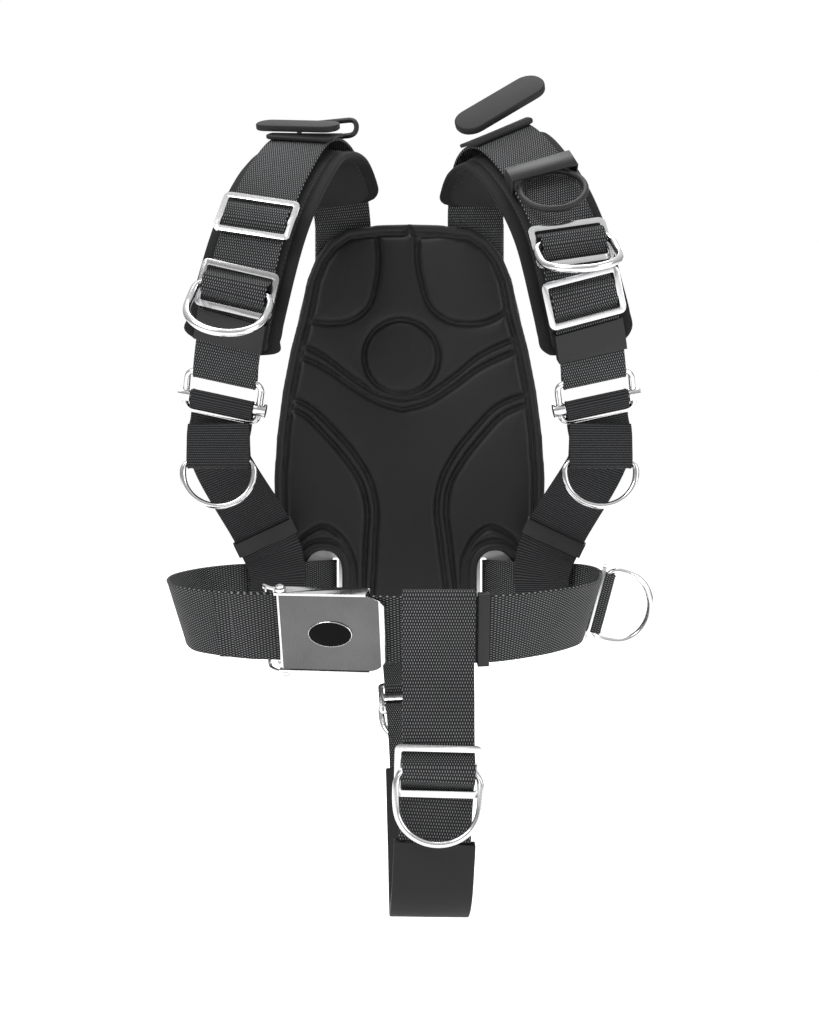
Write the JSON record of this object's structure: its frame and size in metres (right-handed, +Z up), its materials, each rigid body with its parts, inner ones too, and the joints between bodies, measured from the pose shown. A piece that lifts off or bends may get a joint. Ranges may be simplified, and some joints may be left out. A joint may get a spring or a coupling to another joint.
{
  "type": "backplate diving harness",
  "caption": "Diving harness: moulded back pad on a bent steel plate, padded adjustable shoulder straps, waist belt with cam buckle and crotch strap.",
  "frame": {"origin": "centre of the flat rear face of the backplate's channel, where a wing or cylinder is bolted", "axes": "+X to the wearer's left, +Y out of the channel's rear face, away from the wearer's back, +Z up the wearer's back"},
  "size_m": [0.39, 0.286, 0.656],
  "materials": {
    "webbing": "matt black ribbed webbing",
    "padding": "matt black laminated cloth",
    "neoprene": "matt black neoprene",
    "plastic": "satin black",
    "steel": "polished stainless steel",
    "brushed_steel": "brushed stainless steel"
  },
  "bodies": {
    "harness": {"backplate": "brushed_steel", "back_pad": "padding", "pad_screw_1": "steel", "pad_screw_2": "steel", "pad_screw_3": "steel", "pad_screw_4": "steel", "shoulder_webbing_right": "webbing", "shoulder_webbing_left": "webbing", "shoulder_pad_right": "padding", "shoulder_pad_left": "padding", "plain_slider_right": "steel", "plain_slider_left": "steel", "dring_slider_right": "steel", "dring_slider_left": "steel", "keeper_patch_right": "plastic", "keeper_patch_left": "plastic", "hose_keeper_base_right": "neoprene", "hose_keeper_base_left": "neoprene", "hose_loop_right": "plastic", "elastic_band_left": "plastic", "waist_belt_right": "webbing", "waist_belt_left": "webbing", "buckle_frame": "brushed_steel", "buckle_bail": "steel", "buckle_pin": "steel", "hip_slider": "steel", "crotch_webbing": "webbing", "crotch_rear_slider": "steel", "crotch_front_slider": "steel", "crotch_sleeve": "neoprene", "adjuster_frame_right": "steel", "adjuster_frame_left": "steel", "lower_webbing_right": "webbing", "lower_webbing_left": "webbing", "lower_keeper_right": "plastic", "lower_keeper_left": "plastic"},
    "buckle_lever": {"buckle_lever": "brushed_steel", "buckle_badge": "plastic"},
    "shoulder_dring_right": {"shoulder_dring_right": "steel"},
    "shoulder_dring_left": {"shoulder_dring_left": "steel"},
    "retaining_ring_left": {"retaining_ring_left": "neoprene"},
    "hip_dring": {"hip_dring": "steel"},
    "crotch_front_dring": {"crotch_front_dring": "steel"},
    "crotch_rear_dring": {"crotch_rear_dring": "steel"},
    "pull_tab_right": {"pull_tab_right": "webbing"},
    "pull_dring_right": {"pull_dring_right": "steel"},
    "adjuster_bar_right": {"adjuster_bar_right": "steel"},
    "pull_tab_left": {"pull_tab_left": "webbing"},
    "pull_dring_left": {"pull_dring_left": "steel"},
    "adjuster_bar_left": {"adjuster_bar_left": "steel"},
    "hose_keeper_flap_right": {"hose_keeper_flap_right": "padding"},
    "hose_keeper_flap_left": {"hose_keeper_flap_left": "padding"},
    "belt_keeper": {"belt_keeper": "plastic"}
  },
  "joints": [
    {"name": "buckle_lever_hinge", "type": "hinge", "parent": "harness", "child": "buckle_lever", "pos_m": [-0.08784, -0.26264, -0.15275], "axis": [0.0339, 0.3032, -0.9523], "range_deg": [0, 115]},
    {"name": "shoulder_dring_right_hinge", "type": "hinge", "parent": "harness", "child": "shoulder_dring_right", "pos_m": [-0.13006, -0.20459, 0.09655], "axis": [-0.9626, 0.1202, 0.243], "range_deg": [-15, 110]},
    {"name": "shoulder_dring_left_hinge", "type": "hinge", "parent": "harness", "child": "shoulder_dring_left", "pos_m": [0.12227, -0.19916, 0.13411], "axis": [-0.9752, -0.1431, -0.169], "range_deg": [-15, 110]},
    {"name": "retaining_ring_left_hinge", "type": "hinge", "parent": "harness", "child": "retaining_ring_left", "pos_m": [0.1022, -0.16809, 0.19316], "axis": [-0.9415, -0.1523, -0.3008], "range_deg": [-6, 12]},
    {"name": "hip_dring_hinge", "type": "hinge", "parent": "harness", "child": "hip_dring", "pos_m": [0.15696, -0.12013, -0.14412], "axis": [-0.2464, 0.0564, -0.9675], "range_deg": [-65, 80]},
    {"name": "crotch_front_dring_hinge", "type": "hinge", "parent": "harness", "child": "crotch_front_dring", "pos_m": [0.02, -0.27793, -0.24783], "axis": [0.9997, 0, -0.0258], "range_deg": [-100, 3]},
    {"name": "crotch_rear_dring_hinge", "type": "hinge", "parent": "harness", "child": "crotch_rear_dring", "pos_m": [0.00402, -0.06779, -0.23302], "axis": [0.9975, 0.0584, 0.0387], "range_deg": [-10, 60]},
    {"name": "pull_tab_right_hinge", "type": "hinge", "parent": "harness", "child": "pull_tab_right", "pos_m": [-0.15188, -0.14202, 0.00054], "axis": [-1, 0, 0], "range_deg": [-15, 8]},
    {"name": "pull_dring_right_hinge", "type": "hinge", "parent": "pull_tab_right", "child": "pull_dring_right", "pos_m": [-0.15188, -0.14622, -0.02995], "axis": [-1, 0, 0], "range_deg": [-40, 80]},
    {"name": "adjuster_bar_right_slide", "type": "slide", "parent": "harness", "child": "adjuster_bar_right", "axis": [-0.1867, 0.5228, -0.8317], "range_m": [0, 0.0018]},
    {"name": "pull_tab_left_hinge", "type": "hinge", "parent": "harness", "child": "pull_tab_left", "pos_m": [0.15188, -0.14202, 0.00054], "axis": [-1, 0, 0], "range_deg": [-15, 8]},
    {"name": "pull_dring_left_hinge", "type": "hinge", "parent": "pull_tab_left", "child": "pull_dring_left", "pos_m": [0.15188, -0.14622, -0.02995], "axis": [-1, 0, 0], "range_deg": [-40, 80]},
    {"name": "adjuster_bar_left_slide", "type": "slide", "parent": "harness", "child": "adjuster_bar_left", "axis": [0.1867, 0.5228, -0.8317], "range_m": [0, 0.0018]},
    {"name": "hose_keeper_flap_right_hinge", "type": "hinge", "parent": "harness", "child": "hose_keeper_flap_right", "pos_m": [-0.05782, -0.12166, 0.2447], "axis": [0.2882, 0.8234, 0.4888], "range_deg": [0, 95]},
    {"name": "hose_keeper_flap_left_hinge", "type": "hinge", "parent": "harness", "child": "hose_keeper_flap_left", "pos_m": [0.04016, -0.11545, 0.24485], "axis": [0.5061, -0.6176, -0.602], "range_deg": [-3, 75]},
    {"name": "belt_keeper_slide", "type": "slide", "parent": "harness", "child": "belt_keeper", "axis": [0.9957, 0.0853, 0.0356], "range_m": [-0.001, 0.004]}
  ]
}
